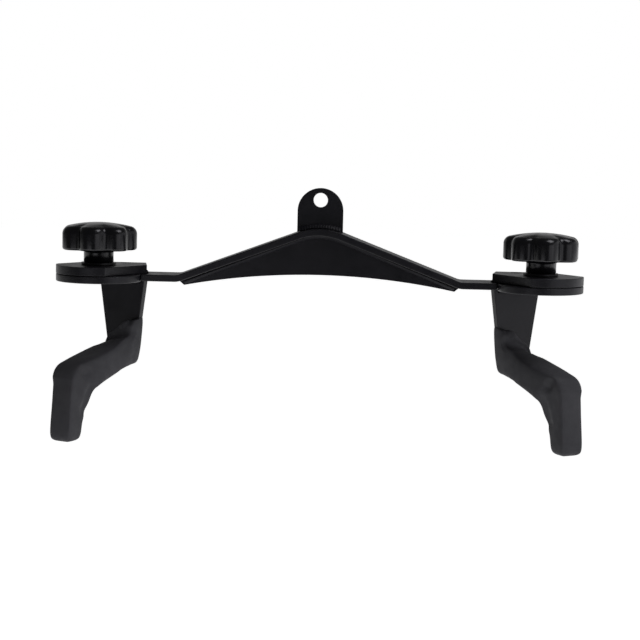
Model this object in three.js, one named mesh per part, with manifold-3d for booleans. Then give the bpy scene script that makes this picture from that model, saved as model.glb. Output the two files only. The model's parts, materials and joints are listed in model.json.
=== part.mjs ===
// A lat pulldown bar: a welded steel crossbar with a cable eye, and under each of its ends
// a handle that swivels and is clamped by a star knob.
// Millimetres, +Z up. The origin is the centre of the eye hole, +X runs along the crossbar
// and -Y is the front, where the grips point.

import * as THREE from 'three';
import { mergeVertices } from 'three/addons/utils/BufferGeometryUtils.js';
import Module from 'manifold-3d';

const wasm = await Module();
wasm.setup();

// Clearances between pieces, and how far a cutting tool runs past what it cuts
const seatGap = 0.3;
const cutOverrun = 4;

// Cable eye: a tab with an arched top that stands on the crossbar
const eyeHoleDiameter = 13;
const eyeRim = 4.3;
const tabWidth = 41;
const tabThickness = 6;
const tabWeldLeg = 4.2;
const tabWeldInset = 2.4;

// Strap: a flat bar bent to a low roof with level ends. Its level run and its end are measured
// inward from the pivot.
const strapWidth = 36.5;
const strapThickness = 6;
const apexDepth = 25.4;
const levelDepth = 69.6;
const apexBendRadius = 57;
const levelBendRadius = 14;
const levelRun = 70.5;
const strapEndSetback = 29.4;
const strapEndClearance = 1.5;

// Web: a gusset on edge under the roof, with a long arc cut in its lower edge. It stops short of
// the bend to the level run. Its lower corners lie below the level run's top, and the arc's crown
// above it.
const webThickness = 5;
const webSetback = 4.9;
const webCornerDrop = 9.8;
const webCrownRise = 2.2;
const webChamferRun = 4.2;
const webWeldLeg = 3.2;

// End plate: fixed on the strap's end, straight at the back and round outside, with a flat flank
// inside at the front and another outside at the back
const plateThickness = 7.5;
const plateRadius = 37.8;
const plateBackEdge = plateRadius;
const plateInnerBack = { inward: 37, back: plateBackEdge };
const plateInnerFront = { inward: 42, back: 10 };
const plateFlankAngle = THREE.MathUtils.degToRad(19);
const plateOuterCut = { outward: 13, endAngle: THREE.MathUtils.degToRad(2) };
const plateHoleDiameter = 10;
const plateHoleInward = 19;
const plateHoleEdge = 8;
const endWeldLeg = 1.6;

// How far a bead's face is drawn in, as a share of its leg
const beadHollowShare = 0.18;

// Pivot of each handle, measured from the eye
const pivotHalfSpan = 197.4;
const pivotForward = 16;

// Clamp stud and its holes
const studDiameter = 12;
const studHoleDiameter = 13;
const studTail = 1.4;
const studChamfer = 1.2;
const studHeadroom = 3.5;

// Swivel disc and arm of the handle
const discRadius = 37.8;
const discThickness = 6.5;
const armSetback = 34;
const armOffset = 3.7;
const armThickness = 6;
const armTopWidth = 49;
const armFootWidth = 29.5;
const armBelowCore = 8.5;
const armFootRadius = 11;
const armWeldLeg = 3.6;
const armWeldLength = 40;
const handleTurn = {
  left: THREE.MathUtils.degToRad(25.2),
  right: THREE.MathUtils.degToRad(28.6),
};

// Grip: moulded rubber over a bent steel core, with a boot that wraps the arm's foot. The core's
// axis leaves the arm at a depth below the eye, falls towards the elbow and runs down the prong.
const coreDepth = 143.5;
const coreFall = 16.7;
const coreOffset = 4.2;
const coreReach = 72;
const coreDiameter = 12;
const coreBendRadius = 16;
const coreDrop = 59.5;
const coreWeldLeg = 1.6;

// Sections of the grip from the back of its boot to the tip of the prong, as shares of the core's
// reach. Upper and under are two edges of a section: forward from the arm's middle, down from the
// core's axis at the arm, and the two sides measured outward from the pivot. Lift raises the inner
// corner of the upper edge.
const gripSections = [
  { upper: [-0.072, -0.119, -0.296, 0.178], under: [-0.072, 0.106, -0.245, 0.158], lift: 0.360 },
  { upper: [-0.058, -0.136, -0.350, 0.215], under: [-0.058, 0.138, -0.272, 0.186], lift: 0.394 },
  { upper: [0.060, -0.136, -0.352, 0.217], under: [0.060, 0.140, -0.274, 0.186], lift: 0.396 },
  { upper: [0.140, -0.118, -0.340, 0.200], under: [0.130, 0.156, -0.276, 0.186], lift: 0.369 },
  { upper: [0.215, -0.112, -0.302, 0.192], under: [0.200, 0.174, -0.276, 0.186], lift: 0.222 },
  { upper: [0.330, -0.118, -0.280, 0.188], under: [0.310, 0.203, -0.274, 0.186], lift: 0.030 },
  { upper: [0.600, -0.068, -0.268, 0.187], under: [0.560, 0.274, -0.266, 0.186], lift: 0 },
  { upper: [0.850, -0.019, -0.240, 0.189], under: [0.745, 0.344, -0.244, 0.186], lift: 0 },
  { upper: [0.990, 0.011, -0.205, 0.190], under: [0.780, 0.401, -0.210, 0.186], lift: 0 },
  { upper: [1.100, 0.056, -0.165, 0.190], under: [0.792, 0.474, -0.180, 0.186], lift: 0 },
  { upper: [1.155, 0.146, -0.135, 0.190], under: [0.802, 0.561, -0.150, 0.190], lift: 0 },
  { upper: [1.170, 0.306, -0.120, 0.197], under: [0.845, 0.651, -0.126, 0.200], lift: 0 },
  { upper: [1.170, 0.506, -0.106, 0.211], under: [0.880, 0.731, -0.106, 0.212], lift: 0 },
  { upper: [1.170, 0.756, -0.090, 0.231], under: [0.894, 0.821, -0.092, 0.229], lift: 0 },
  { upper: [1.170, 0.946, -0.080, 0.244], under: [0.898, 0.952, -0.080, 0.242], lift: 0 },
  { upper: [1.145, 0.994, -0.052, 0.220], under: [0.926, 0.998, -0.052, 0.218], lift: 0 },
  { upper: [1.095, 1.013, -0.002, 0.176], under: [0.978, 1.015, -0.002, 0.174], lift: 0 },
];
const gripCornerShare = 0.34;

// Star knob: round lobes with a smaller round in each valley between them
const knobRadius = 34;
const knobLobes = 7;
const knobLobeRadius = 12;
const knobValleyRadius = 4.5;
const knobHeadHeight = 21.5;
const knobDome = 3.2;
const knobValleyTurn = THREE.MathUtils.degToRad(-112);
const knobEdgeRound = 5;
const knobNeckRadius = 13.3;
const knobNeckHeight = 11;
const knobNeckFlare = 3;
const insertRadius = 9.5;
const insertLength = 15;
const washerRadius = 15.5;
const washerThickness = 2;

// Facet counts
const roundSides = 48;
const holeSides = 32;
const coreSides = 12;
const beadFaceSteps = 3;
const gripCornerSteps = 5;
const bendSteps = 12;
const facetsPerLobe = 12;
const edgeSteps = 3;
const domeSteps = 5;

// Places that follow from the sizes above. The roof's slope runs from the level run's bend to where
// it meets the arc of the apex.
const bendSpan = pivotHalfSpan - levelRun;
const bendRise = apexDepth + apexBendRadius - levelDepth;
const roofAngle = Math.atan2(bendSpan, bendRise) - Math.acos(apexBendRadius / Math.hypot(bendSpan, bendRise));
const webHalfLength = bendSpan - webSetback;
const webCornerDepth = levelDepth + webCornerDrop;
const webCrownDepth = levelDepth - webCrownRise;
const strapReach = pivotHalfSpan - strapEndSetback;
const eyeTop = eyeHoleDiameter / 2 + eyeRim;
const plateFloor = -levelDepth + seatGap;
const plateTop = plateFloor + plateThickness;
const discTop = -levelDepth - seatGap / 2;
const discFloor = discTop - discThickness;
const armTop = discFloor - seatGap;
const armLength = armTop + coreDepth + armBelowCore;
const washerTop = plateTop + seatGap + washerThickness;
const neckFloor = washerTop + seatGap;
const headFloor = neckFloor + knobNeckHeight;
const insertTop = neckFloor + insertLength;
const studTop = insertTop - studHeadroom;
const studFloor = discFloor - studTail;

// Materials
const powderCoat = () => new THREE.MeshStandardMaterial({ color: 0x17171a, roughness: 0.5, metalness: 0.2 });
const weldMetal = () => new THREE.MeshStandardMaterial({ color: 0x1c1c1f, roughness: 0.45, metalness: 0.2 });
const gripRubber = () => new THREE.MeshStandardMaterial({ color: 0x26262a, roughness: 0.8, metalness: 0 });
const knobPlastic = () => new THREE.MeshStandardMaterial({ color: 0x0c0c0e, roughness: 0.2, metalness: 0 });
const bareSteel = () => new THREE.MeshStandardMaterial({ color: 0x8c8f93, roughness: 0.35, metalness: 1 });

// Solids: a closed geometry becomes a manifold to be cut or joined, and comes back as a geometry

function stripped(geometry) {
  const bare = geometry.clone();
  bare.deleteAttribute('normal');
  bare.deleteAttribute('uv');
  return mergeVertices(bare);
}

function toSolid(geometry) {
  const merged = stripped(geometry);
  return new wasm.Manifold(new wasm.Mesh({
    numProp: 3,
    vertProperties: new Float32Array(merged.attributes.position.array),
    triVerts: new Uint32Array(merged.index.array),
  }));
}

function toGeometry(solid) {
  const mesh = solid.getMesh();
  const geometry = new THREE.BufferGeometry();
  geometry.setAttribute('position', new THREE.BufferAttribute(new Float32Array(mesh.vertProperties), 3));
  geometry.setIndex(new THREE.BufferAttribute(new Uint32Array(mesh.triVerts), 1));
  geometry.computeVertexNormals();
  return geometry;
}

function cut(geometry, ...tools) {
  let solid = toSolid(geometry);
  for (const tool of tools) {
    solid = solid.subtract(toSolid(tool));
  }
  return toGeometry(solid);
}

function join(geometry, ...others) {
  let solid = toSolid(geometry);
  for (const other of others) {
    solid = solid.add(toSolid(other));
  }
  return toGeometry(solid);
}

// An upright cylinder between two heights
function upright(radius, low, high, x = 0, y = 0, sides = roundSides) {
  const geometry = new THREE.CylinderGeometry(radius, radius, high - low, sides);
  geometry.rotateX(Math.PI / 2);
  geometry.translate(x, y, (high + low) / 2);
  return geometry;
}

// Evenly spaced angles round a full turn
function ringAngles(count) {
  return Array.from({ length: count }, (_, i) => 2 * Math.PI * i / count);
}

// A round solid from a list of radii and heights
function turned(profile, sides) {
  return loft(profile.map(([radius, z]) => ringAngles(sides)
    .map((angle) => new THREE.Vector3(radius * Math.cos(angle), radius * Math.sin(angle), z))));
}

// An outline in X and Z, drawn from the front, given a thickness about the plane y = 0
function frontPlate(shape, thickness) {
  const geometry = new THREE.ExtrudeGeometry(shape, { depth: thickness, bevelEnabled: false });
  geometry.translate(0, 0, -thickness / 2);
  geometry.rotateX(Math.PI / 2);
  return geometry;
}

// An outline in X and Y, seen from above, raised from one height to another
function flatPlate(shape, low, high) {
  const geometry = new THREE.ExtrudeGeometry(shape, { depth: high - low, bevelEnabled: false });
  geometry.translate(0, 0, low);
  return geometry;
}

// A skin over rings of equally many points, closed with a fan at each end
function loft(rings) {
  const count = rings[0].length;
  const positions = [];
  const faces = [];
  for (const ring of rings) {
    for (const point of ring) {
      positions.push(point.x, point.y, point.z);
    }
  }
  for (let r = 0; r + 1 < rings.length; r++) {
    for (let i = 0; i < count; i++) {
      const a = r * count + i;
      const b = r * count + (i + 1) % count;
      faces.push(a, b, a + count, b, b + count, a + count);
    }
  }
  const ends = [[0, true], [rings.length - 1, false]];
  for (const [r, first] of ends) {
    const middle = new THREE.Vector3();
    rings[r].forEach((point) => middle.add(point));
    middle.divideScalar(count);
    const hub = positions.length / 3;
    positions.push(middle.x, middle.y, middle.z);
    for (let i = 0; i < count; i++) {
      const a = r * count + i;
      const b = r * count + (i + 1) % count;
      faces.push(...(first ? [hub, b, a] : [hub, a, b]));
    }
  }
  const geometry = new THREE.BufferGeometry();
  geometry.setAttribute('position', new THREE.Float32BufferAttribute(positions, 3));
  geometry.setIndex(faces);
  geometry.computeVertexNormals();
  return outward(geometry);
}

// Turns a closed geometry's faces out if they point in
function outward(geometry) {
  const p = geometry.attributes.position;
  const index = geometry.index;
  const [a, b, c] = [new THREE.Vector3(), new THREE.Vector3(), new THREE.Vector3()];
  let volume = 0;
  for (let i = 0; i < index.count; i += 3) {
    a.fromBufferAttribute(p, index.getX(i));
    b.fromBufferAttribute(p, index.getX(i + 1));
    c.fromBufferAttribute(p, index.getX(i + 2));
    volume += a.dot(b.cross(c));
  }
  return volume < 0 ? turnedOver(geometry) : geometry;
}

function turnedOver(geometry) {
  const index = geometry.index;
  for (let i = 0; i < index.count; i += 3) {
    const first = index.getX(i);
    index.setX(i, index.getX(i + 1));
    index.setX(i + 1, first);
  }
  geometry.computeVertexNormals();
  return geometry;
}

// The same piece for the other end of the bar
function mirrored(geometry) {
  const copy = stripped(geometry);
  copy.scale(-1, 1, 1);
  return turnedOver(copy);
}

// Strap's top line from its left reach to its right, lowered square to itself by a depth
function strapLine(depth, reach) {
  const bendHalfRun = levelBendRadius * Math.tan(roofAngle / 2);
  const half = [];
  for (let i = 0; i <= bendSteps; i++) {
    const turn = roofAngle * i / bendSteps;
    const radius = apexBendRadius - depth;
    half.push([radius * Math.sin(turn), -apexDepth - apexBendRadius + radius * Math.cos(turn)]);
  }
  for (let i = 0; i <= bendSteps; i++) {
    const turn = roofAngle * (1 - i / bendSteps);
    const radius = levelBendRadius + depth;
    half.push([
      bendSpan + bendHalfRun - radius * Math.sin(turn),
      -levelDepth + levelBendRadius - radius * Math.cos(turn),
    ]);
  }
  half.push([reach, -levelDepth - depth]);
  const left = half.slice(1).map(([x, z]) => [-x, z]).reverse();
  return [...left, ...half];
}

function shapeOf(points) {
  return new THREE.Shape(points.map(([x, y]) => new THREE.Vector2(x, y)));
}

function strap() {
  const bar = frontPlate(
    shapeOf([...strapLine(0, strapReach), ...strapLine(strapThickness, strapReach).reverse()]), strapWidth);
  const reliefs = [-1, 1].map((side) => upright(
    discRadius + strapEndClearance, -levelDepth - strapThickness - cutOverrun, -levelDepth + cutOverrun,
    side * pivotHalfSpan, -pivotForward));
  return cut(bar, ...reliefs);
}

// Web outline: up against the strap's underside, with the long arc below
function web() {
  const top = strapLine(strapThickness + seatGap, webHalfLength + webChamferRun)
    .filter(([x]) => Math.abs(x) <= webHalfLength + webChamferRun);
  const rise = webCornerDepth - webCrownDepth;
  const arcRadius = (webHalfLength ** 2 + rise ** 2) / (2 * rise);
  const arcHalfAngle = Math.asin(webHalfLength / arcRadius);
  const arcSteps = 2 * bendSteps;
  const lower = [];
  for (let i = 0; i <= arcSteps; i++) {
    const angle = arcHalfAngle * (1 - 2 * i / arcSteps);
    lower.push([arcRadius * Math.sin(angle), -webCrownDepth - arcRadius + arcRadius * Math.cos(angle)]);
  }
  return frontPlate(shapeOf([...top, ...lower]), webThickness);
}

function eyeTab() {
  const half = tabWidth / 2;
  const footRadius = apexBendRadius + seatGap;
  const footCentre = -apexDepth - apexBendRadius;
  const outline = [];
  for (let i = 0; i <= 2 * bendSteps; i++) {
    const angle = Math.PI * i / (2 * bendSteps);
    outline.push([half * Math.cos(angle), eyeTop - half + half * Math.sin(angle)]);
  }
  for (let i = 0; i <= bendSteps; i++) {
    const x = -half + tabWidth * i / bendSteps;
    outline.push([x, footCentre + Math.sqrt(footRadius ** 2 - x ** 2)]);
  }
  const shape = shapeOf(outline);
  const hole = new THREE.Path();
  hole.absarc(0, 0, eyeHoleDiameter / 2, 0, 2 * Math.PI, true);
  shape.holes.push(hole);
  return frontPlate(shape, tabThickness);
}

// A weld bead: a hollow-faced fillet swept along points, each with the two directions of its corner
function bead(stations, leg) {
  return loft(stations.map(({ corner, up, out }) => {
    const ring = [corner.clone()];
    for (let i = 0; i <= beadFaceSteps; i++) {
      const turn = Math.PI / 2 * i / beadFaceSteps;
      const belly = leg * (1 - beadHollowShare * Math.sin(2 * turn));
      ring.push(corner.clone()
        .addScaledVector(up, belly * Math.cos(turn))
        .addScaledVector(out, belly * Math.sin(turn)));
    }
    return ring;
  }));
}

function tabWeld(side) {
  const stations = [];
  const centre = -apexDepth - apexBendRadius;
  const halfAngle = Math.asin((tabWidth / 2 - tabWeldInset) / apexBendRadius);
  for (let i = 0; i <= bendSteps; i++) {
    const angle = halfAngle * (2 * i / bendSteps - 1);
    const up = new THREE.Vector3(Math.sin(angle), 0, Math.cos(angle));
    const corner = up.clone().multiplyScalar(apexBendRadius + seatGap);
    corner.z += centre;
    corner.y = side * (tabThickness / 2 + seatGap);
    stations.push({ corner, up, out: new THREE.Vector3(0, side, 0) });
  }
  return bead(stations, tabWeldLeg);
}

function webWeld(side) {
  const line = strapLine(strapThickness + seatGap, webHalfLength)
    .filter(([x]) => Math.abs(x) <= webHalfLength);
  const stations = line.map(([x, z], i) => {
    const [x0, z0] = line[Math.max(i - 1, 0)];
    const [x1, z1] = line[Math.min(i + 1, line.length - 1)];
    const along = new THREE.Vector3(x1 - x0, 0, z1 - z0).normalize();
    return {
      corner: new THREE.Vector3(x, side * (webThickness / 2 + seatGap), z),
      up: new THREE.Vector3(along.z, 0, -along.x),
      out: new THREE.Vector3(0, side, 0),
    };
  });
  return bead(stations, webWeldLeg);
}

// End plate for the right end, about its pivot: inner side at -X, back at +Y
function endPlate() {
  const shape = new THREE.Shape();
  shape.moveTo(0, plateBackEdge);
  shape.lineTo(-plateInnerBack.inward, plateInnerBack.back);
  shape.lineTo(-plateInnerFront.inward, plateInnerFront.back);
  const flankX = -plateRadius * Math.sin(plateFlankAngle);
  const flankY = -plateRadius * Math.cos(plateFlankAngle);
  shape.lineTo(flankX, flankY);
  const start = Math.atan2(flankY, flankX);
  const arcSteps = 4 * bendSteps;
  const end = plateOuterCut.endAngle;
  for (let i = 1; i <= arcSteps; i++) {
    const angle = start + (end - start) * i / arcSteps;
    shape.lineTo(plateRadius * Math.cos(angle), plateRadius * Math.sin(angle));
  }
  shape.lineTo(plateOuterCut.outward, plateBackEdge);
  const plate = flatPlate(shape, plateFloor, plateTop);
  const low = plateFloor - cutOverrun;
  const high = plateTop + cutOverrun;
  return cut(plate,
    upright(studHoleDiameter / 2, low, high, 0, 0, holeSides),
    upright(plateHoleDiameter / 2, low, high, -plateHoleInward, plateBackEdge - plateHoleEdge, holeSides));
}

// Bead on the strap along the inner edge of the end plate
function endWeldTop() {
  const front = new THREE.Vector2(-plateInnerFront.inward, plateInnerFront.back);
  const back = new THREE.Vector2(-plateInnerBack.inward, plateInnerBack.back);
  const edge = back.clone().sub(front);
  const out = new THREE.Vector3(-edge.y, edge.x, 0).normalize();
  const up = new THREE.Vector3(0, 0, 1);
  const spanBack = pivotForward + strapWidth / 2 - 2 * seatGap - plateInnerFront.back;
  const stations = [0, 1].map((end) => {
    const point = front.clone().addScaledVector(edge, end * spanBack / edge.y);
    const corner = new THREE.Vector3(point.x, point.y, -levelDepth + seatGap).addScaledVector(out, seatGap);
    return { corner, up, out };
  });
  return bead(stations, endWeldLeg);
}

// Bead under the end plate along the strap's back edge
function endWeldBack() {
  const y = pivotForward + strapWidth / 2 + seatGap;
  const inner = -plateInnerBack.inward + 2 * seatGap;
  const outer = strapReach - pivotHalfSpan;
  const down = new THREE.Vector3(0, 0, -1);
  const back = new THREE.Vector3(0, 1, 0);
  const stations = [inner, outer].map((x) => ({
    corner: new THREE.Vector3(x, y, plateFloor - seatGap),
    up: down,
    out: back,
  }));
  return bead(stations, endWeldLeg);
}

// Handle pieces, about the pivot, with the grip running to -Y

function swivelDisc() {
  return cut(upright(discRadius, discFloor, discTop),
    upright(studDiameter / 2 + seatGap, discFloor - cutOverrun, discTop + cutOverrun, 0, 0, holeSides));
}

// The arm, or with a margin the room that it takes in the boot
function arm(margin = 0) {
  const top = armTopWidth / 2 + margin;
  const foot = armFootWidth / 2 + margin;
  const round = armFootRadius + margin;
  const floor = armTop - armLength - margin;
  const outline = [[-top, armTop]];
  for (const side of [-1, 1]) {
    for (let i = 0; i <= bendSteps; i++) {
      const turn = Math.PI / 2 * (side < 0 ? i : bendSteps - i) / bendSteps;
      outline.push([side * (foot - round + round * Math.cos(turn)), floor + round - round * Math.sin(turn)]);
    }
  }
  outline.push([top, armTop]);
  const plate = frontPlate(shapeOf(outline), armThickness + 2 * margin);
  plate.translate(-armOffset, armSetback, 0);
  return plate;
}

function armWeld() {
  const y = armSetback - armThickness / 2 - seatGap;
  const down = new THREE.Vector3(0, 0, -1);
  const forward = new THREE.Vector3(0, -1, 0);
  const stations = [-0.5, 0.5].map((share) => ({
    corner: new THREE.Vector3(-armOffset + armWeldLength * share, y, discFloor - seatGap),
    up: down,
    out: forward,
  }));
  return bead(stations, armWeldLeg);
}

// One section of the grip: a rectangle with rounded corners, stretched over its four corner points
function gripRing({ upper, under, lift }) {
  const edge = ([forward, down, inner, outer]) => [inner, outer].map((across) => new THREE.Vector3(
    across, -forward, -down).multiplyScalar(coreReach).add(new THREE.Vector3(0, armSetback, -coreDepth)));
  const [upperInner, upperOuter] = edge(upper);
  const [underInner, underOuter] = edge(under);
  upperInner.z += lift * coreReach;
  const straight = 1 - gripCornerShare;
  const ring = [];
  for (const [towardOuter, towardUpper, startTurn] of [[1, 1, 0], [-1, 1, 1], [-1, -1, 2], [1, -1, 3]]) {
    for (let i = 0; i <= gripCornerSteps; i++) {
      const turn = Math.PI / 2 * (startTurn + i / gripCornerSteps);
      const across = (1 + towardOuter * straight + gripCornerShare * Math.cos(turn)) / 2;
      const along = (1 + towardUpper * straight + gripCornerShare * Math.sin(turn)) / 2;
      const upperPoint = upperInner.clone().lerp(upperOuter, across);
      ring.push(underInner.clone().lerp(underOuter, across).lerp(upperPoint, along));
    }
  }
  return ring;
}

// Centre line of the steel core: forward from the arm, round the bend and down the prong
function corePath(runBack) {
  const face = armSetback - armThickness / 2 - seatGap;
  const point = (y, z) => new THREE.Vector3(coreOffset, y, z);
  const corner = point(armSetback - coreReach, -coreDepth - coreFall);
  const start = point(face, -coreDepth);
  const back = start.clone().sub(corner).normalize();
  const bendStart = corner.clone().addScaledVector(back, coreBendRadius);
  const bendEnd = point(corner.y, corner.z - coreBendRadius);
  const path = new THREE.CurvePath();
  path.add(new THREE.LineCurve3(start.addScaledVector(back, runBack), bendStart));
  path.add(new THREE.QuadraticBezierCurve3(bendStart, corner, bendEnd));
  path.add(new THREE.LineCurve3(bendEnd, point(corner.y, -coreDepth - coreDrop)));
  return path;
}

function rodAlong(path, radius) {
  const circle = shapeOf(ringAngles(coreSides)
    .map((angle) => [radius * Math.cos(angle), radius * Math.sin(angle)]));
  return new THREE.ExtrudeGeometry(circle, { steps: 3 * bendSteps, extrudePath: path, bevelEnabled: false });
}

// The room that the arm takes, with its clearance
function armRoom() {
  return arm(seatGap);
}

function gripCore() {
  return cut(rodAlong(corePath(armThickness / 2), coreDiameter / 2), armRoom());
}

// Bead round the core's foot on the arm
function coreWeld() {
  const face = armSetback - armThickness / 2 - seatGap;
  const bore = coreDiameter / 2 + seatGap;
  const cone = turned([[bore + coreWeldLeg, 0], [bore + seatGap, coreWeldLeg]], holeSides);
  cone.rotateX(Math.PI / 2);
  cone.translate(coreOffset, face, -coreDepth);
  return cut(cone, rodAlong(corePath(armThickness / 2), bore));
}

function grip() {
  const face = armSetback - armThickness / 2 - seatGap;
  const weldRoom = upright(
    coreDiameter / 2 + 2 * seatGap + coreWeldLeg, -cutOverrun, coreWeldLeg + seatGap, 0, 0, holeSides);
  weldRoom.rotateX(Math.PI / 2);
  weldRoom.translate(coreOffset, face, -coreDepth);
  const coreRoom = rodAlong(corePath(armThickness / 2), coreDiameter / 2 + seatGap);
  return cut(loft(gripSections.map(gripRing)), coreRoom, weldRoom, armRoom());
}

// Clamp pieces, about the pivot axis

// Distance from the axis to the star's outline, at an angle from the middle of a valley
function starRadius(angle) {
  const half = Math.PI / knobLobes;
  const fromValley = Math.abs(angle - 2 * half * Math.round(angle / half / 2));
  const fromLobe = half - fromValley;
  const lobeOut = knobRadius - knobLobeRadius;
  const apart = knobLobeRadius + knobValleyRadius;
  const valleyOut = lobeOut * Math.cos(half) + Math.sqrt(apart ** 2 - (lobeOut * Math.sin(half)) ** 2);
  const lobeMiddle = new THREE.Vector2(lobeOut, 0);
  const valleyMiddle = new THREE.Vector2(valleyOut * Math.cos(half), valleyOut * Math.sin(half));
  const meeting = lobeMiddle.lerp(valleyMiddle, knobLobeRadius / apart);
  if (fromLobe < meeting.angle()) {
    const aside = lobeOut * Math.sin(fromLobe);
    return lobeOut * Math.cos(fromLobe) + Math.sqrt(knobLobeRadius ** 2 - aside ** 2);
  }
  const aside = valleyOut * Math.sin(fromValley);
  return valleyOut * Math.cos(fromValley) - Math.sqrt(knobValleyRadius ** 2 - aside ** 2);
}

function starRing(scale, z) {
  return ringAngles(knobLobes * facetsPerLobe).map((turn) => {
    const angle = turn + knobValleyTurn;
    const radius = scale * starRadius(turn);
    return new THREE.Vector3(radius * Math.cos(angle), radius * Math.sin(angle), z);
  });
}

function knobHead() {
  const rings = [];
  const lowerRound = knobEdgeRound / 2;
  const scaleAt = (inset) => (knobRadius - inset) / knobRadius;
  for (let i = 0; i <= edgeSteps; i++) {
    const turn = Math.PI / 2 * i / edgeSteps;
    rings.push(starRing(
      scaleAt(lowerRound * (1 - Math.sin(turn))), headFloor + lowerRound * (1 - Math.cos(turn))));
  }
  const shoulder = headFloor + knobHeadHeight - knobEdgeRound;
  for (let i = 0; i <= edgeSteps; i++) {
    const turn = Math.PI / 2 * i / edgeSteps;
    rings.push(starRing(
      scaleAt(knobEdgeRound * (1 - Math.cos(turn))), shoulder + knobEdgeRound * Math.sin(turn)));
  }
  const domeEdge = scaleAt(knobEdgeRound);
  for (let i = 1; i < domeSteps; i++) {
    const share = 1 - i / domeSteps;
    rings.push(starRing(domeEdge * share, headFloor + knobHeadHeight + knobDome * (1 - share ** 2)));
  }
  const neck = turned([
    [knobNeckRadius, neckFloor],
    [knobNeckRadius, headFloor - knobNeckFlare],
    [knobNeckRadius + knobNeckFlare, headFloor],
    [knobNeckRadius + knobNeckFlare, headFloor + lowerRound],
  ], roundSides);
  return cut(join(loft(rings), neck),
    upright(insertRadius + seatGap, neckFloor - cutOverrun, insertTop + seatGap, 0, 0, holeSides));
}

function knobInsert() {
  return cut(upright(insertRadius, neckFloor, insertTop, 0, 0, holeSides),
    upright(studDiameter / 2 + seatGap, neckFloor - cutOverrun, studTop + seatGap, 0, 0, holeSides));
}

function stud() {
  const radius = studDiameter / 2;
  return turned([
    [radius - studChamfer, studFloor],
    [radius, studFloor + studChamfer],
    [radius, studTop - studChamfer],
    [radius - studChamfer, studTop],
  ], holeSides);
}

function clampWasher() {
  const low = plateTop + seatGap;
  return cut(upright(washerRadius, low, washerTop),
    upright(studHoleDiameter / 2, low - cutOverrun, washerTop + cutOverrun, 0, 0, holeSides));
}

const group = new THREE.Group();

function add(parent, name, geometry, material) {
  const mesh = new THREE.Mesh(geometry, material);
  mesh.name = name;
  parent.add(mesh);
}

add(group, 'eye_tab', eyeTab(), powderCoat());
add(group, 'eye_weld_front', tabWeld(-1), weldMetal());
add(group, 'eye_weld_back', tabWeld(1), weldMetal());
add(group, 'crossbar_strap', strap(), powderCoat());
add(group, 'web_plate', web(), powderCoat());
add(group, 'web_weld_front', webWeld(-1), weldMetal());
add(group, 'web_weld_back', webWeld(1), weldMetal());

// Pieces of the right end, with what places them: the end itself, the handle or the knob
const endPieces = [
  ['end_plate', endPlate(), powderCoat],
  ['end_weld_top', endWeldTop(), weldMetal],
  ['end_weld_back', endWeldBack(), weldMetal],
  ['clamp_washer', clampWasher(), bareSteel],
  ['knob_head', knobHead(), knobPlastic],
  ['knob_insert', knobInsert(), bareSteel],
  ['clamp_stud', stud(), bareSteel],
];
const handlePieces = [
  ['swivel_disc', swivelDisc(), powderCoat],
  ['arm', arm(), powderCoat],
  ['arm_weld', armWeld(), weldMetal],
  ['grip_core', gripCore(), bareSteel],
  ['core_weld', coreWeld(), weldMetal],
  ['grip', grip(), gripRubber],
];

for (const side of ['left', 'right']) {
  const right = side === 'right';
  const end = new THREE.Group();
  end.position.set((right ? 1 : -1) * pivotHalfSpan, -pivotForward, 0);
  group.add(end);
  const handle = new THREE.Group();
  handle.rotation.z = (right ? 1 : -1) * handleTurn[side];
  end.add(handle);
  for (const [holder, list] of [[end, endPieces], [handle, handlePieces]]) {
    for (const [name, geometry, material] of list) {
      add(holder, `${side}_${name}`, right ? geometry : mirrored(geometry), material());
    }
  }
}

export default group;
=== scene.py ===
import json
import math

import bmesh
import bpy
from mathutils import Matrix, Vector

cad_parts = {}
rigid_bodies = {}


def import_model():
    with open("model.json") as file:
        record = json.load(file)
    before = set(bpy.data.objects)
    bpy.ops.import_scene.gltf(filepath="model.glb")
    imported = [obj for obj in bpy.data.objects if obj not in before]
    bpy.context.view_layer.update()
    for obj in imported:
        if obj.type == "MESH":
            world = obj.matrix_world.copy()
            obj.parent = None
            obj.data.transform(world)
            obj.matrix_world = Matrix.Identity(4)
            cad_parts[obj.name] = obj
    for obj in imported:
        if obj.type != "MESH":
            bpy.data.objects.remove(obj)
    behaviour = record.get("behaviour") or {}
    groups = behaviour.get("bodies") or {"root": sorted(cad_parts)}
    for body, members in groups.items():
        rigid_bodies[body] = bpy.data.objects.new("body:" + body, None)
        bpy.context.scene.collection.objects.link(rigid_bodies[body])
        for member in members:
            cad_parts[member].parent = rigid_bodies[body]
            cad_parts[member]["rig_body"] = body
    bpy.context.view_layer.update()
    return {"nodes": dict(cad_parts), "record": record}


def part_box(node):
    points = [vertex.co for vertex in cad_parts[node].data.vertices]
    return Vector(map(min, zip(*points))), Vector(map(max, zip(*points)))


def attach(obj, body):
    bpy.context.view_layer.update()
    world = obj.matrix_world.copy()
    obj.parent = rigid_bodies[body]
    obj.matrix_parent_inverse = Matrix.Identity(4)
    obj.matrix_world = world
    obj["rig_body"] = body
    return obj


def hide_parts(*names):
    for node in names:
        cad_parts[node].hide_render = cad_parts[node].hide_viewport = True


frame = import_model()
nodes = frame["nodes"]
sides = ("left", "right")
print("frame loaded:", len(nodes), "nodes")


# The finishes, each from its own settings. A scale is about how many patches, grains or waves go into a
# metre, and a depth is in metres.
noiseRange = (0.3, 0.7)     # what a noise mostly lies between


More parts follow.
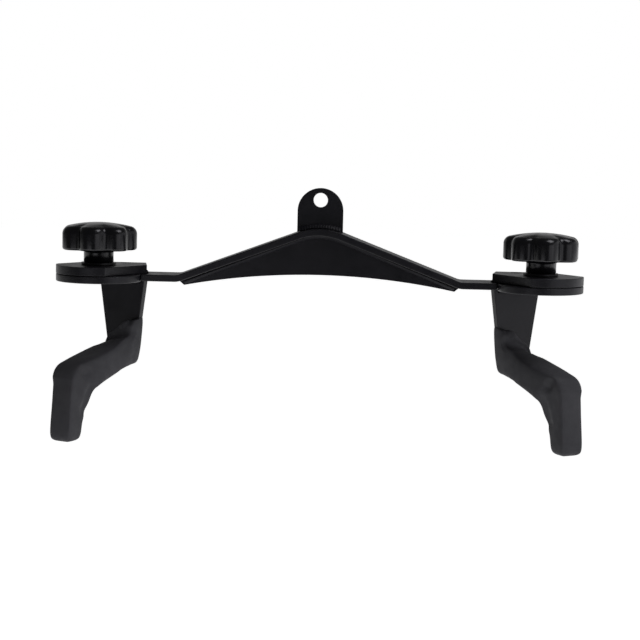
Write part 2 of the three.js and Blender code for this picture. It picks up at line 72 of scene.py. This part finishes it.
def newMaterial(name, baseColour, roughness, metallic=0.0, specular=0.5):
    material = bpy.data.materials.new(name)
    material.use_nodes = True
    tree = material.node_tree
    shader = tree.nodes["Principled BSDF"]
    shader.inputs["Base Color"].default_value = (*baseColour, 1)
    shader.inputs["Roughness"].default_value = roughness
    shader.inputs["Metallic"].default_value = metallic
    shader.inputs["Specular IOR Level"].default_value = specular
    coordinates = tree.nodes.new("ShaderNodeTexCoord")
    return material, tree, shader, coordinates.outputs["Object"]


def noiseAt(tree, place, scale, detail=3, roughness=0.55):
    texture = tree.nodes.new("ShaderNodeTexNoise")
    texture.inputs["Scale"].default_value = scale
    texture.inputs["Detail"].default_value = detail
    texture.inputs["Roughness"].default_value = roughness
    tree.links.new(place, texture.inputs["Vector"])
    return texture.outputs["Fac"]


def mapped(tree, value, limits, low, high, kind="LINEAR"):
    # runs from low to high as the value runs between its limits
    node = tree.nodes.new("ShaderNodeMapRange")
    node.interpolation_type = kind
    for key, number in zip(("From Min", "From Max", "To Min", "To Max"), (*limits, low, high)):
        node.inputs[key].default_value = number
    tree.links.new(value, node.inputs["Value"])
    return node.outputs["Result"]


def twoTone(tree, value, dark, light):
    ramp = tree.nodes.new("ShaderNodeValToRGB")
    for element, position, colour in zip(ramp.color_ramp.elements, noiseRange, (dark, light)):
        element.position = position
        element.color = (*colour, 1)
    tree.links.new(value, ramp.inputs["Fac"])
    return ramp.outputs["Color"]


def reliefAt(tree, place, scale, depth, detail, before=None):
    # a bump made by a noise, on top of the one before
    bump = tree.nodes.new("ShaderNodeBump")
    bump.inputs["Strength"].default_value = 1.0
    bump.inputs["Distance"].default_value = depth
    tree.links.new(noiseAt(tree, place, scale, detail), bump.inputs["Height"])
    if before is not None:
        tree.links.new(before, bump.inputs["Normal"])
    return bump.outputs["Normal"]


def patchy(name, settings):
    # a material with soft patches of two tones and an uneven shine, still without its relief
    material, tree, shader, place = newMaterial(name, settings["dark"], settings["roughness"][0],
                                                settings["metallic"], settings["specular"])
    patches = noiseAt(tree, place, settings["patchScale"], settings["patchDetail"])
    tree.links.new(twoTone(tree, patches, settings["dark"], settings["light"]), shader.inputs["Base Color"])
    shine = noiseAt(tree, place, settings["shineScale"])
    tree.links.new(mapped(tree, shine, noiseRange, *settings["roughness"]), shader.inputs["Roughness"])
    return material, tree, shader, place


coat = {
    "dark": (0.0045, 0.0044, 0.0062),
    "light": (0.0072, 0.0070, 0.0095),
    "patchScale": 34,       # broad cloudiness of the coat
    "patchDetail": 3,
    "peelScale": 620,       # orange peel, about 1.5 mm across
    "peelDepth": 0.00005,
    "grainScale": 2600,
    "grainDepth": 0.000012,
    "shineScale": 90,
    "roughness": (0.34, 0.44),
    "specular": 0.30,
    "metallic": 0.0,
}
weldCoat = dict(coat, peelScale=1100, roughness=(0.42, 0.55), specular=0.16)
blackened = dict(coat, dark=(0.008, 0.008, 0.009), peelDepth=0.00001)


def powderCoat(name, settings):
    material, tree, shader, place = patchy(name, settings)
    peel = reliefAt(tree, place, settings["peelScale"], settings["peelDepth"], detail=2)
    grain = reliefAt(tree, place, settings["grainScale"], settings["grainDepth"], detail=2, before=peel)
    tree.links.new(grain, shader.inputs["Normal"])
    return material


rubber = {
    "dark": (0.036, 0.036, 0.039),
    "light": (0.048, 0.048, 0.052),
    "patchScale": 26,
    "patchDetail": 4,
    "grainScale": 1900,     # fine moulded grain
    "grainDepth": 0.00005,
    "flowScale": 160,       # the slight waves of rubber that flowed into its mould
    "flowDepth": 0.00010,
    "shineScale": 120,
    "roughness": (0.62, 0.76),
    "specular": 0.3,
    "metallic": 0.0,
}


def mouldedRubber(name, settings):
    material, tree, shader, place = patchy(name, settings)
    flow = reliefAt(tree, place, settings["flowScale"], settings["flowDepth"], detail=3)
    grain = reliefAt(tree, place, settings["grainScale"], settings["grainDepth"], detail=2, before=flow)
    tree.links.new(grain, shader.inputs["Normal"])
    return material


phenolic = {
    "dark": (0.0028, 0.0028, 0.0037),
    "light": (0.0046, 0.0046, 0.0060),
    "patchScale": 60,
    "patchDetail": 2,
    "waveScale": 70,        # the slight unevenness of a polished moulding
    "waveDepth": 0.00006,
    "shineScale": 200,
    "roughness": (0.19, 0.26),
    "specular": 0.34,
    "metallic": 0.0,
}


def glossyPlastic(name, settings):
    material, tree, shader, place = patchy(name, settings)
    waves = reliefAt(tree, place, settings["waveScale"], settings["waveDepth"], detail=1)
    tree.links.new(waves, shader.inputs["Normal"])
    return material


steel = {
    "dark": (0.30, 0.30, 0.31),
    "light": (0.46, 0.46, 0.47),
    "patchScale": 220,
    "patchDetail": 4,
    "scratchScale": 900,
    "scratchDepth": 0.00001,
    "shineScale": 500,
    "roughness": (0.24, 0.36),
    "specular": 0.5,
    "metallic": 1.0,
}


def plainSteel(name, settings):
    material, tree, shader, place = patchy(name, settings)
    scratches = reliefAt(tree, place, settings["scratchScale"], settings["scratchDepth"], detail=3)
    tree.links.new(scratches, shader.inputs["Normal"])
    return material


finishes = {
    "black_coat": powderCoat("black powder coat", coat),
    "coated_weld": powderCoat("coated weld bead", weldCoat),
    "grip_rubber": mouldedRubber("moulded grip rubber", rubber),
    "knob_plastic": glossyPlastic("polished phenolic", phenolic),
    "blackened_steel": powderCoat("blackened steel", blackened),
    "steel": plainSteel("bright steel", steel),
}
slotOf = {entry["node"]: entry["material_slot"] for entry in frame["record"]["subparts"]}
for name, node in nodes.items():
    node.data.materials.clear()
    node.data.materials.append(finishes[slotOf[name]])
print("materials made")


# The pieces that stand in for the CAD solids

def meshFrom(name, mergeWithin=0.00001):
    # a bmesh of a CAD node, its loose triangles joined at their corners
    bm = bmesh.new()
    bm.from_mesh(nodes[name].data)
    bmesh.ops.remove_doubles(bm, verts=bm.verts, dist=mergeWithin)
    return bm


def meshOf(bm, name):
    mesh = bpy.data.meshes.new(name)
    bm.to_mesh(mesh)
    bm.free()
    return mesh


def newObject(name, data):
    made = bpy.data.objects.new(name, data)
    bpy.context.scene.collection.objects.link(made)
    return made


def bodyOf(name):
    return nodes[name]["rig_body"]


def addPiece(bm, name, replaced, slotName=None, smooth=True):
    # makes an object of the bmesh, gives it its finish and lets it ride where the node rides
    mesh = meshOf(bm, name)
    mesh.polygons.foreach_set("use_smooth", [smooth] * len(mesh.polygons))
    piece = newObject(name, mesh)
    mesh.materials.append(finishes[slotName or slotOf[replaced]])
    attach(piece, bodyOf(replaced))
    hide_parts(replaced)
    return piece


def plainMesh(piece):
    # what the piece's modifiers make becomes its mesh
    evaluated = piece.evaluated_get(bpy.context.evaluated_depsgraph_get())
    mesh = bpy.data.meshes.new_from_object(evaluated)
    piece.modifiers.clear()
    piece.data = mesh
    return mesh


def relax(bm, verts, rounds):
    for _ in range(rounds):
        bmesh.ops.smooth_vert(bm, verts=verts, factor=0.5, use_axis_x=True, use_axis_y=True,
                              use_axis_z=True)


def softenEdges(bm, width, segments=3, flatAngle=0.6, sharpAngle=28):
    # flat faces become whole, then each sharp edge is rounded
    bmesh.ops.dissolve_limit(bm, angle_limit=math.radians(flatAngle), verts=bm.verts, edges=bm.edges)
    sharp = [e for e in bm.edges if e.is_manifold and e.calc_face_angle(0) > math.radians(sharpAngle)]
    bmesh.ops.bevel(bm, geom=sharp, offset=width, offset_type="OFFSET", segments=segments, profile=0.5,
                    affect="EDGES", clamp_overlap=True, material=-1)


def weightedNormals(piece, weight=90):
    modifier = piece.modifiers.new("even shading", "WEIGHTED_NORMAL")
    modifier.keep_sharp = False
    modifier.weight = weight


# The plates, with how wide their edges are rounded
plates = {
    "eye_tab": 0.0006,
    "crossbar_strap": 0.0007,
    "web_plate": 0.0005,
}
for side in sides:
    plates[f"{side}_end_plate"] = 0.0008
    plates[f"{side}_swivel_disc"] = 0.0008
    plates[f"{side}_arm"] = 0.0006
    plates[f"{side}_clamp_washer"] = 0.0003
strapEnd = {
    "length": 0.012,        # how much of the strap's end is moved out
    "reach": 0.0009,        # and how far, so that no light shows between it and the disc
}
for name, width in plates.items():
    bm = meshFrom(name)
    if name == "crossbar_strap":
        tip = max(v.co.x for v in bm.verts)
        for v in bm.verts:
            if abs(v.co.x) > tip - strapEnd["length"]:
                v.co.x += math.copysign(strapEnd["reach"], v.co.x)
    softenEdges(bm, width)
    weightedNormals(addPiece(bm, f"{name}_edged", name))
print("plates edged:", len(plates))

# The star knobs: round lobes, a smaller round in each valley, a low dome and a flared neck
knob = {
    "lobes": 7,
    "facetsPerLobe": 28,
    "radius": 0.034,
    "lobeRadius": 0.012,
    "valleyRadius": 0.0045,
    "valleyTurn": -112,     # degrees, where one valley of the right knob lies
    "starFull": 0.026,      # the lobes and valleys have their whole depth from this radius out
    "edgeRound": 0.0070,
    "edgeTurn": 84,         # degrees of the upper round, before the dome takes over
    "edgeSteps": 9,
    "underRound": 0.0025,
    "underSteps": 6,
    "dome": 0.0032,
    "domeShares": (0.94, 0.86, 0.76, 0.64, 0.5, 0.36, 0.22, 0.1),   # of its radius, where its rings are
    "neckRadius": 0.0133,
    "neckChamfer": 0.0006,
    "neckFlare": 0.0030,
    "flareSteps": 5,
    "neckHeight": 0.0110,
    "flatFrom": 0.0015,     # the head's flat underside starts this far outside the flare
    "flatTo": 0.0035,       # and ends this far inside the lower round
    "neckClear": 0.001,     # a point nearer than this to the flare, and no higher than this over the
    "footClear": 0.0001,    # underside, belongs to the neck, which stays round
    "insertRadius": 0.0098,
}


def ringOut(bm, edges, radius, height, axis):
    # pushes the open rim out and up to the next ring of a turned form
    made = bmesh.ops.extrude_edge_only(bm, edges=edges)["geom"]
    verts = [v for v in made if isinstance(v, bmesh.types.BMVert)]
    reach = (verts[0].co - Vector((axis.x, axis.y, verts[0].co.z))).length
    centred = Matrix.Translation((-axis.x, -axis.y, 0))
    bmesh.ops.scale(bm, vec=(radius / reach, radius / reach, 1), space=centred, verts=verts)
    bmesh.ops.translate(bm, verts=verts, vec=(0, 0, height - verts[0].co.z))
    return [e for e in made if isinstance(e, bmesh.types.BMEdge)]


def turnedForm(profile, axis, facets, footClosed):
    # rings round an upright axis, from the foot of the profile to its closed top
    bm = bmesh.new()
    foot = Matrix.Translation((axis.x, axis.y, profile[0][1]))
    bmesh.ops.create_circle(bm, segments=facets, radius=profile[0][0], matrix=foot)
    edges = list(bm.edges)
    if footClosed:
        bmesh.ops.contextual_create(bm, geom=edges)
    for radius, height in profile[1:]:
        edges = ringOut(bm, edges, radius, height, axis)
    bmesh.ops.contextual_create(bm, geom=edges)
    return bm


def arcPoints(centreRadius, centreHeight, radius, startTurn, endTurn, steps):
    turns = [math.radians(startTurn + (endTurn - startTurn) * i / steps) for i in range(steps + 1)]
    return [(centreRadius + radius * math.cos(t), centreHeight + radius * math.sin(t)) for t in turns]


def starRadius(angle):
    # from the axis to the star's outline, at an angle from the middle of a valley
    half = math.pi / knob["lobes"]
    fromValley = abs(angle - 2 * half * round(angle / half / 2))
    fromLobe = half - fromValley
    lobe, valley = knob["lobeRadius"], knob["valleyRadius"]
    lobeOut = knob["radius"] - lobe
    valleyOut = lobeOut * math.cos(half) + math.sqrt((lobe + valley) ** 2 - (lobeOut * math.sin(half)) ** 2)
    lobeMiddle = Vector((lobeOut, 0))
    valleyMiddle = Vector((valleyOut * math.cos(half), valleyOut * math.sin(half)))
    meeting = lobeMiddle.lerp(valleyMiddle, lobe / (lobe + valley))
    if fromLobe < math.atan2(meeting.y, meeting.x):
        return lobeOut * math.cos(fromLobe) + math.sqrt(lobe ** 2 - (lobeOut * math.sin(fromLobe)) ** 2)
    return valleyOut * math.cos(fromValley) - math.sqrt(valley ** 2 - (valleyOut * math.sin(fromValley)) ** 2)


def starKnob(side):
    name = f"{side}_knob_head"
    low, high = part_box(name)
    studLow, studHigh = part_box(f"{side}_clamp_stud")
    axis = (studLow + studHigh) / 2
    neckFoot, crown = low.z, high.z
    headFoot = neckFoot + knob["neckHeight"]
    rim = crown - knob["dome"]
    full, neck, chamfer = knob["radius"], knob["neckRadius"], knob["neckChamfer"]
    edge, under, flare = knob["edgeRound"], knob["underRound"], knob["neckFlare"]
    profile = [(knob["insertRadius"], neckFoot), (neck - chamfer, neckFoot), (neck, neckFoot + chamfer)]
    profile += arcPoints(neck + flare, headFoot - flare, -flare, 0, -90, knob["flareSteps"])
    profile += [(neck + flare + knob["flatFrom"], headFoot), (full - under - knob["flatTo"], headFoot)]
    profile += arcPoints(full - under, headFoot + under, under, -90, 0, knob["underSteps"])
    profile += arcPoints(full - edge, rim - edge, edge, 0, knob["edgeTurn"], knob["edgeSteps"])
    topRadius, topHeight = profile[-1]
    for share in knob["domeShares"]:
        profile.append((topRadius * share, topHeight + (crown - topHeight) * (1 - share ** 2)))
    bm = turnedForm(profile, axis, knob["lobes"] * knob["facetsPerLobe"], footClosed=False)
    # the star: each point outside the neck is drawn in to its lobe or valley, less towards the crown
    valleyTurn = math.radians(knob["valleyTurn"] if side == "right" else 180 - knob["valleyTurn"])
    for v in bm.verts:
        out = Vector((v.co.x - axis.x, v.co.y - axis.y))
        if out.length < neck + flare + knob["neckClear"] and v.co.z < headFoot + knob["footClear"]:
            continue
        angle = math.atan2(out.y, out.x) - valleyTurn
        drawn = 1 - starRadius(angle) / full
        out *= 1 - drawn * min(1, out.length / knob["starFull"]) ** 2
        v.co.x, v.co.y = axis.x + out.x, axis.y + out.y
    bmesh.ops.recalc_face_normals(bm, faces=bm.faces)
    return addPiece(bm, f"{side}_star_knob", name)


for side in sides:
    starKnob(side)
print("knobs made")


# The grips. Their sections run from the back of the boot to the tip, as in the part: the upper and the
# lower edge, each forward of the arm, down from the core's axis, and its inner and outer side, as shares of
# the core's reach. The last number lifts the inner corner of the upper edge.
grip = {
    "reach": 0.072,
    "armSetback": 0.034,
    "coreDepth": 0.1435,
    "turn": {"left": 25.2, "right": 28.6},   # degrees, how far each handle is swivelled
    "edgeRound": 15,                         # percent of each side that an edge's rounding takes
    "capInset": 0.0035,
    "capDepth": 0.0004,
    "levels": 3,
    "sections": [
        ((-0.072, -0.119, -0.296, 0.178), (-0.072, 0.106, -0.245, 0.158), 0.360),
        ((-0.058, -0.136, -0.350, 0.215), (-0.058, 0.138, -0.272, 0.186), 0.394),
        ((0.060, -0.136, -0.352, 0.217), (0.060, 0.140, -0.274, 0.186), 0.396),
        ((0.140, -0.118, -0.340, 0.200), (0.130, 0.156, -0.276, 0.186), 0.369),
        ((0.215, -0.112, -0.302, 0.192), (0.200, 0.174, -0.276, 0.186), 0.222),
        ((0.330, -0.118, -0.280, 0.188), (0.310, 0.203, -0.274, 0.186), 0.030),
        ((0.600, -0.068, -0.268, 0.187), (0.560, 0.274, -0.266, 0.186), 0),
        ((0.850, -0.019, -0.240, 0.189), (0.745, 0.344, -0.244, 0.186), 0),
        ((0.990, 0.011, -0.205, 0.190), (0.780, 0.401, -0.210, 0.186), 0),
        ((1.100, 0.056, -0.165, 0.190), (0.792, 0.474, -0.180, 0.186), 0),
        ((1.155, 0.146, -0.135, 0.190), (0.802, 0.561, -0.150, 0.190), 0),
        ((1.170, 0.306, -0.120, 0.197), (0.845, 0.651, -0.126, 0.200), 0),
        ((1.170, 0.506, -0.106, 0.211), (0.880, 0.731, -0.106, 0.212), 0),
        ((1.170, 0.756, -0.090, 0.231), (0.894, 0.821, -0.092, 0.229), 0),
        ((1.170, 0.946, -0.080, 0.244), (0.898, 0.952, -0.080, 0.242), 0),
        ((1.145, 0.994, -0.052, 0.220), (0.926, 0.998, -0.052, 0.218), 0),
        ((1.095, 1.013, -0.002, 0.176), (0.978, 1.015, -0.002, 0.174), 0),
    ],
    # rounds of smoothing, and the skin that gets them: behind this, in front of this and above this
    "rounding": [
        (10, -0.100, math.inf, -0.152),
        (46, -0.100, 0.015, -0.158),
    ],
    # strokes over the skin, in the handle's frame: from, to, how wide, and how far it moves
    "strokes": [
        # on the boot: knuckle, ridge, hollow, valley, outer lip and chin
        ((-0.0130, 0.024, -0.1140), (-0.0100, 0.023, -0.1175), 0.0060, (0, -0.0036, 0.0034)),
        ((-0.0060, 0.024, -0.1210), (0.0100, 0.025, -0.1315), 0.0048, (0, -0.0018, 0.0016)),
        ((-0.0230, 0.027, -0.1060), (-0.0180, 0.028, -0.1070), 0.0070, (0, 0.0018, -0.0045)),
        ((-0.0220, 0.019, -0.1240), (0.0020, 0.020, -0.1345), 0.0085, (0, 0.0046, -0.0016)),
        ((0.0140, 0.039, -0.1315), (0.0150, 0.018, -0.1360), 0.0135, (-0.0022, 0, -0.0060)),
        ((-0.0170, 0.037, -0.1510), (-0.0160, 0.029, -0.1515), 0.0150, (0.0008, 0, -0.0018)),
        # at the elbow: valley, two knuckles, notch, knee, front crease and the gusset's side
        ((-0.0170, -0.0460, -0.1415), (-0.0175, -0.0372, -0.1562), 0.0080, (0.0046, 0.0006, -0.0012)),
        ((-0.0074, -0.0490, -0.1445), (-0.0080, -0.0490, -0.1450), 0.0045, (-0.0006, -0.0014, 0.0004)),
        ((-0.0112, -0.0500, -0.1592), (-0.0112, -0.0500, -0.1600), 0.0044, (-0.0012, -0.0014, 0)),
        ((-0.0155, -0.0470, -0.1565), (-0.0155, -0.0465, -0.1570), 0.0055, (0.0026, 0.0010, 0)),
        ((0.0140, -0.046, -0.1470), (0.0140, -0.048, -0.1530), 0.0135, (0.0020, -0.0008, 0)),
        ((-0.0090, -0.051, -0.1640), (-0.0062, -0.051, -0.2060), 0.0034, (-0.0005, -0.0012, 0)),
        ((-0.0120, -0.027, -0.1700), (-0.0090, -0.031, -0.1880), 0.0085, (0.0024, -0.0004, 0)),
    ],
}


def handleFrame(side):
    # outward, back and up from the pivot, mirrored on the left
    studLow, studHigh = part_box(f"{side}_clamp_stud")
    pivot = (studLow + studHigh) / 2
    turned = Matrix.Rotation(math.radians(grip["turn"][side]), 4, "Z")
    placed = Matrix.Translation((abs(pivot.x), pivot.y, 0)) @ turned
    return placed if side == "right" else Matrix.Diagonal((-1, 1, 1, 1)) @ placed


def sectionCorners(upper, under, lift):
    # once round the section: the upper edge from inside to outside, the lower one back
    reach = grip["reach"]
    corners = []
    for (forward, down, inner, outer), back in ((upper, False), (under, True)):
        for across in ((outer, inner) if back else (inner, outer)):
            corners.append(Vector((across * reach, grip["armSetback"] - forward * reach,
                                   -grip["coreDepth"] - down * reach)))
    corners[0].z += lift * reach
    return corners


def stroke(bm, start, end, radius, shift):
    # moves the skin near the line from start to end, most on the line and nothing at the radius
    start, end, shift = Vector(start), Vector(end), Vector(shift)
    along = end - start
    for v in bm.verts:
        share = max(0, min(1, (v.co - start).dot(along) / along.length_squared))
        away = (v.co - start - along * share).length / radius
        if away < 1:
            v.co += shift * (1 - away ** 2) ** 2


def rubberGrip(side):
    rings = [sectionCorners(*section) for section in grip["sections"]]
    bm = bmesh.new()
    corners = [bm.verts.new(corner) for corner in rings[0]]
    bmesh.ops.contextual_create(bm, geom=corners)
    edges = list(bm.edges)
    ringEdges = set(edges)
    for before, after in zip(rings, rings[1:]):
        made = bmesh.ops.extrude_edge_only(bm, edges=edges)["geom"]
        for v in (g for g in made if isinstance(g, bmesh.types.BMVert)):
            nearest = min(range(len(before)), key=lambda i: (v.co - before[i]).length)
            v.co = after[nearest]
        edges = [g for g in made if isinstance(g, bmesh.types.BMEdge)]
        ringEdges.update(edges)
    bmesh.ops.contextual_create(bm, geom=edges)
    longEdges = [e for e in bm.edges if e not in ringEdges]
    bmesh.ops.bevel(bm, geom=longEdges, offset=grip["edgeRound"], offset_type="PERCENT", segments=2,
                    profile=0.5, affect="EDGES", clamp_overlap=True, material=-1)
    caps = [f for f in bm.faces if len(f.verts) > 4]
    bmesh.ops.inset_individual(bm, faces=caps, thickness=grip["capInset"], depth=grip["capDepth"])
    bmesh.ops.recalc_face_normals(bm, faces=bm.faces)
    piece = addPiece(bm, f"{side}_rubber_grip", f"{side}_grip")
    modifier = piece.modifiers.new("rounding", "SUBSURF")
    modifier.levels = modifier.render_levels = grip["levels"]
    mesh = plainMesh(piece)
    bm = bmesh.new()
    bm.from_mesh(mesh)
    for rounds, front, back, down in grip["rounding"]:
        relax(bm, [v for v in bm.verts if front < v.co.y < back and v.co.z > down], rounds)
    for start, end, radius, shift in grip["strokes"]:
        stroke(bm, start, end, radius, shift)
    bmesh.ops.transform(bm, matrix=handleFrame(side), verts=bm.verts)
    bmesh.ops.recalc_face_normals(bm, faces=bm.faces)
    bm.to_mesh(mesh)
    bm.free()
    return piece


for side in sides:
    made = rubberGrip(side)
    print(made.name, len(made.data.polygons), "faces")


# The weld beads: rounded, with the ripples that a welder's steps leave, curved like a row of chevrons
bead = {
    "grain": 0.00045,       # how fine the skin is cut up
    "rounding": 5,
    "step": 0.0024,         # from one ripple to the next
    "rise": 0.00014,
    "bow": 0.35,            # how far a ripple's middle runs ahead, as a share of the way across
    "lift": 0.35,           # how far the whole skin is raised, as a share of the rise
    "sharpness": 3,         # a higher odd number leaves narrower ripples
}


def rippledBead(name):
    bm = meshFrom(name)
    piece = addPiece(bm, f"{name}_rippled", name, "coated_weld")
    modifier = piece.modifiers.new("skin", "REMESH")
    modifier.mode = "VOXEL"
    modifier.voxel_size = bead["grain"]
    modifier.use_smooth_shade = True
    mesh = plainMesh(piece)
    bm = bmesh.new()
    bm.from_mesh(mesh)
    relax(bm, bm.verts, bead["rounding"])
    middle = sum((v.co for v in bm.verts), Vector()) / len(bm.verts)
    farthest = max(bm.verts, key=lambda v: (v.co - middle).length).co
    along = (farthest - middle).normalized()
    bm.normal_update()
    moved = []
    for v in bm.verts:
        out = v.co - middle
        forth = out.dot(along)
        across = (out - along * forth).length
        wave = math.cos(2 * math.pi * (forth + bead["bow"] * across) / bead["step"])
        moved.append(v.normal * bead["rise"] * (bead["lift"] + wave ** bead["sharpness"]))
    for v, shift in zip(bm.verts, moved):
        v.co += shift
    bm.to_mesh(mesh)
    bm.free()
    return piece


beads = [name for name in nodes if "weld" in name]
for name in beads:
    rippledBead(name)
print("beads made:", len(beads))


# The studs: a coarse thread under the knob, with a chamfer at each end
thread = {
    "pitch": 0.00175,
    "depth": 0.0008,
    "groove": (0.15, 0.5, 0.85),    # where in a turn it starts, is deepest and ends
    "chamfer": 0.0012,
    "runIn": 0.0002,                # how much slimmer the stud is where the thread starts
    "facets": 48,
}


def threadedStud(side):
    name = f"{side}_clamp_stud"
    low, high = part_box(name)
    axis = (low + high) / 2
    full = (high.x - low.x) / 2
    chamfer = thread["chamfer"]
    count = int((high.z - low.z - 2 * chamfer) / thread["pitch"])
    profile = [(full - chamfer, low.z), (full - thread["runIn"], low.z + chamfer)]
    for i in range(count):
        foot = low.z + chamfer + thread["pitch"] * i
        start, deepest, end = (foot + thread["pitch"] * share for share in thread["groove"])
        profile += [(full, start), (full - thread["depth"], deepest), (full, end)]
    profile += [(full, high.z - chamfer), (full - chamfer, high.z)]
    bm = turnedForm(profile, axis, thread["facets"], footClosed=True)
    bmesh.ops.recalc_face_normals(bm, faces=bm.faces)
    return addPiece(bm, f"{side}_threaded_stud", name, smooth=False)


for side in sides:
    threadedStud(side)
print("studs made")


# Floor, surroundings, lamps and camera
studio = {
    "floorHeight": -0.62,
    "floorSize": 6,         # from its middle to its edges
    "floorFront": -0.8,     # where the floor ends, in front of the object
    "floorColour": (0.9, 0.9, 0.9),
    "floorRoughness": 0.9,
    "floorGlow": 0.90,      # added where it is seen, which makes it white there
    "lampColour": (0.95, 0.94, 1.0),
    "front": 0.09,          # how bright the room is, and how bright the backdrop is
    "back": 0.5,
    "backFrom": (0.25, 0.75),    # the backdrop fades in between these shares of the way back
    "backTop": (0.20, 0.55),     # and out again between these heights
}


def calculated(tree, operation, first, second):
    # a Math node on two sockets, or on a socket and a number
    node = tree.nodes.new("ShaderNodeMath")
    node.operation = operation
    for socket, value in zip(node.inputs, (first, second)):
        if isinstance(value, float):
            socket.default_value = value
        else:
            tree.links.new(value, socket)
    return node.outputs["Value"]


def seenPlainly(tree, kinds):
    # 1 for the kinds of ray that see the plain white background, 0 for those that carry light
    paths = tree.nodes.new("ShaderNodeLightPath")
    seen = paths.outputs[kinds[0]]
    for kind in kinds[1:]:
        seen = calculated(tree, "MAXIMUM", seen, paths.outputs[kind])
    return seen


world = bpy.data.worlds.new("studio")
bpy.context.scene.world = world
world.use_nodes = True
tree = world.node_tree
background = tree.nodes["Background"]
background.inputs["Color"].default_value = (1, 1, 1, 1)
looking = tree.nodes.new("ShaderNodeTexCoord")
parts = tree.nodes.new("ShaderNodeSeparateXYZ")
tree.links.new(looking.outputs["Generated"], parts.inputs["Vector"])
wayBack = mapped(tree, parts.outputs["Y"], studio["backFrom"], 0, 1, "SMOOTHSTEP")
wayUp = mapped(tree, parts.outputs["Z"], studio["backTop"], 1, 0, "SMOOTHSTEP")
backdrop = calculated(tree, "MULTIPLY", wayBack, wayUp)
room = mapped(tree, backdrop, (0, 1), studio["front"], studio["back"], "SMOOTHSTEP")
white = seenPlainly(tree, ("Is Camera Ray", "Is Transmission Ray"))
tree.links.new(calculated(tree, "MAXIMUM", white, room), background.inputs["Strength"])

bm = bmesh.new()
bmesh.ops.create_grid(bm, x_segments=1, y_segments=1, size=studio["floorSize"])
floorMiddle = (0, studio["floorSize"] + studio["floorFront"], studio["floorHeight"])
bmesh.ops.translate(bm, verts=bm.verts, vec=floorMiddle)
floor = newObject("floor", meshOf(bm, "floor"))
material, tree, shader, _ = newMaterial("pale floor", studio["floorColour"], studio["floorRoughness"])
shader.inputs["Emission Color"].default_value = (1, 1, 1, 1)
white = seenPlainly(tree, ("Is Camera Ray", "Is Glossy Ray", "Is Transmission Ray"))
glow = calculated(tree, "MULTIPLY", white, studio["floorGlow"])
tree.links.new(glow, shader.inputs["Emission Strength"])
floor.data.materials.append(material)

# name: size, brightness as seen, place, what it faces
lamps = {
    "right wall": ((1.3, 0.9), 0.6, (1.0, -0.10, 0.05), (0, -0.10, 0.05)),
    "front right": ((0.9, 0.9), 0.95, (1.0, -1.1, -0.1), (0.1, 0, -0.1)),
    "front left": ((0.8, 0.5), 1.3, (-0.55, -1.25, -0.5), (0.1, 0, -0.1)),
    "overhead right": ((0.6, 0.6), 5.0, (0.62, -0.25, 1.0), (0.1, 0, -0.1)),
    "below": ((1.3, 0.7), 0.8, (0, -0.35, -0.6), (0, -0.2, 0)),
}


def softbox(name, size, brightness, at, aim):
    lamp = bpy.data.lights.new(name, "AREA")
    lamp.shape = "RECTANGLE"
    lamp.size, lamp.size_y = size
    lamp.color = studio["lampColour"]
    lamp.energy = brightness * math.pi * size[0] * size[1]
    holder = newObject(name, lamp)
    holder.location = at
    holder.rotation_euler = (Vector(aim) - Vector(at)).to_track_quat("-Z", "Y").to_euler()


for name, settings in lamps.items():
    softbox(name, *settings)

# the photograph's viewpoint, with its turns in degrees and its lens in millimetres
view = {
    "at": (0.05, -1.35, 0.041),
    "yaw": -2.0487,
    "pitch": -6.3080,
    "roll": 1.29,
    "lens": 84.375,
    "sensor": 36,
    "farthest": 50,
}
yaw, pitch, roll = (math.radians(view[k]) for k in ("yaw", "pitch", "roll"))
ahead = Vector((math.sin(yaw) * math.cos(pitch), math.cos(yaw) * math.cos(pitch), math.sin(pitch)))
level = Vector((math.cos(yaw), -math.sin(yaw), 0))
upright = level.cross(ahead)
right = level * math.cos(roll) + upright * math.sin(roll)
up = -level * math.sin(roll) + upright * math.cos(roll)
camera = newObject("camera", bpy.data.cameras.new("camera"))
camera.data.lens = view["lens"]
camera.data.sensor_width = view["sensor"]
camera.data.clip_end = view["farthest"]
turn = Matrix((right, up, -ahead)).transposed().to_4x4()
camera.matrix_world = Matrix.Translation(view["at"]) @ turn
bpy.context.scene.camera = camera
bpy.context.scene.view_settings.view_transform = "Standard"
print("camera and lamps set")
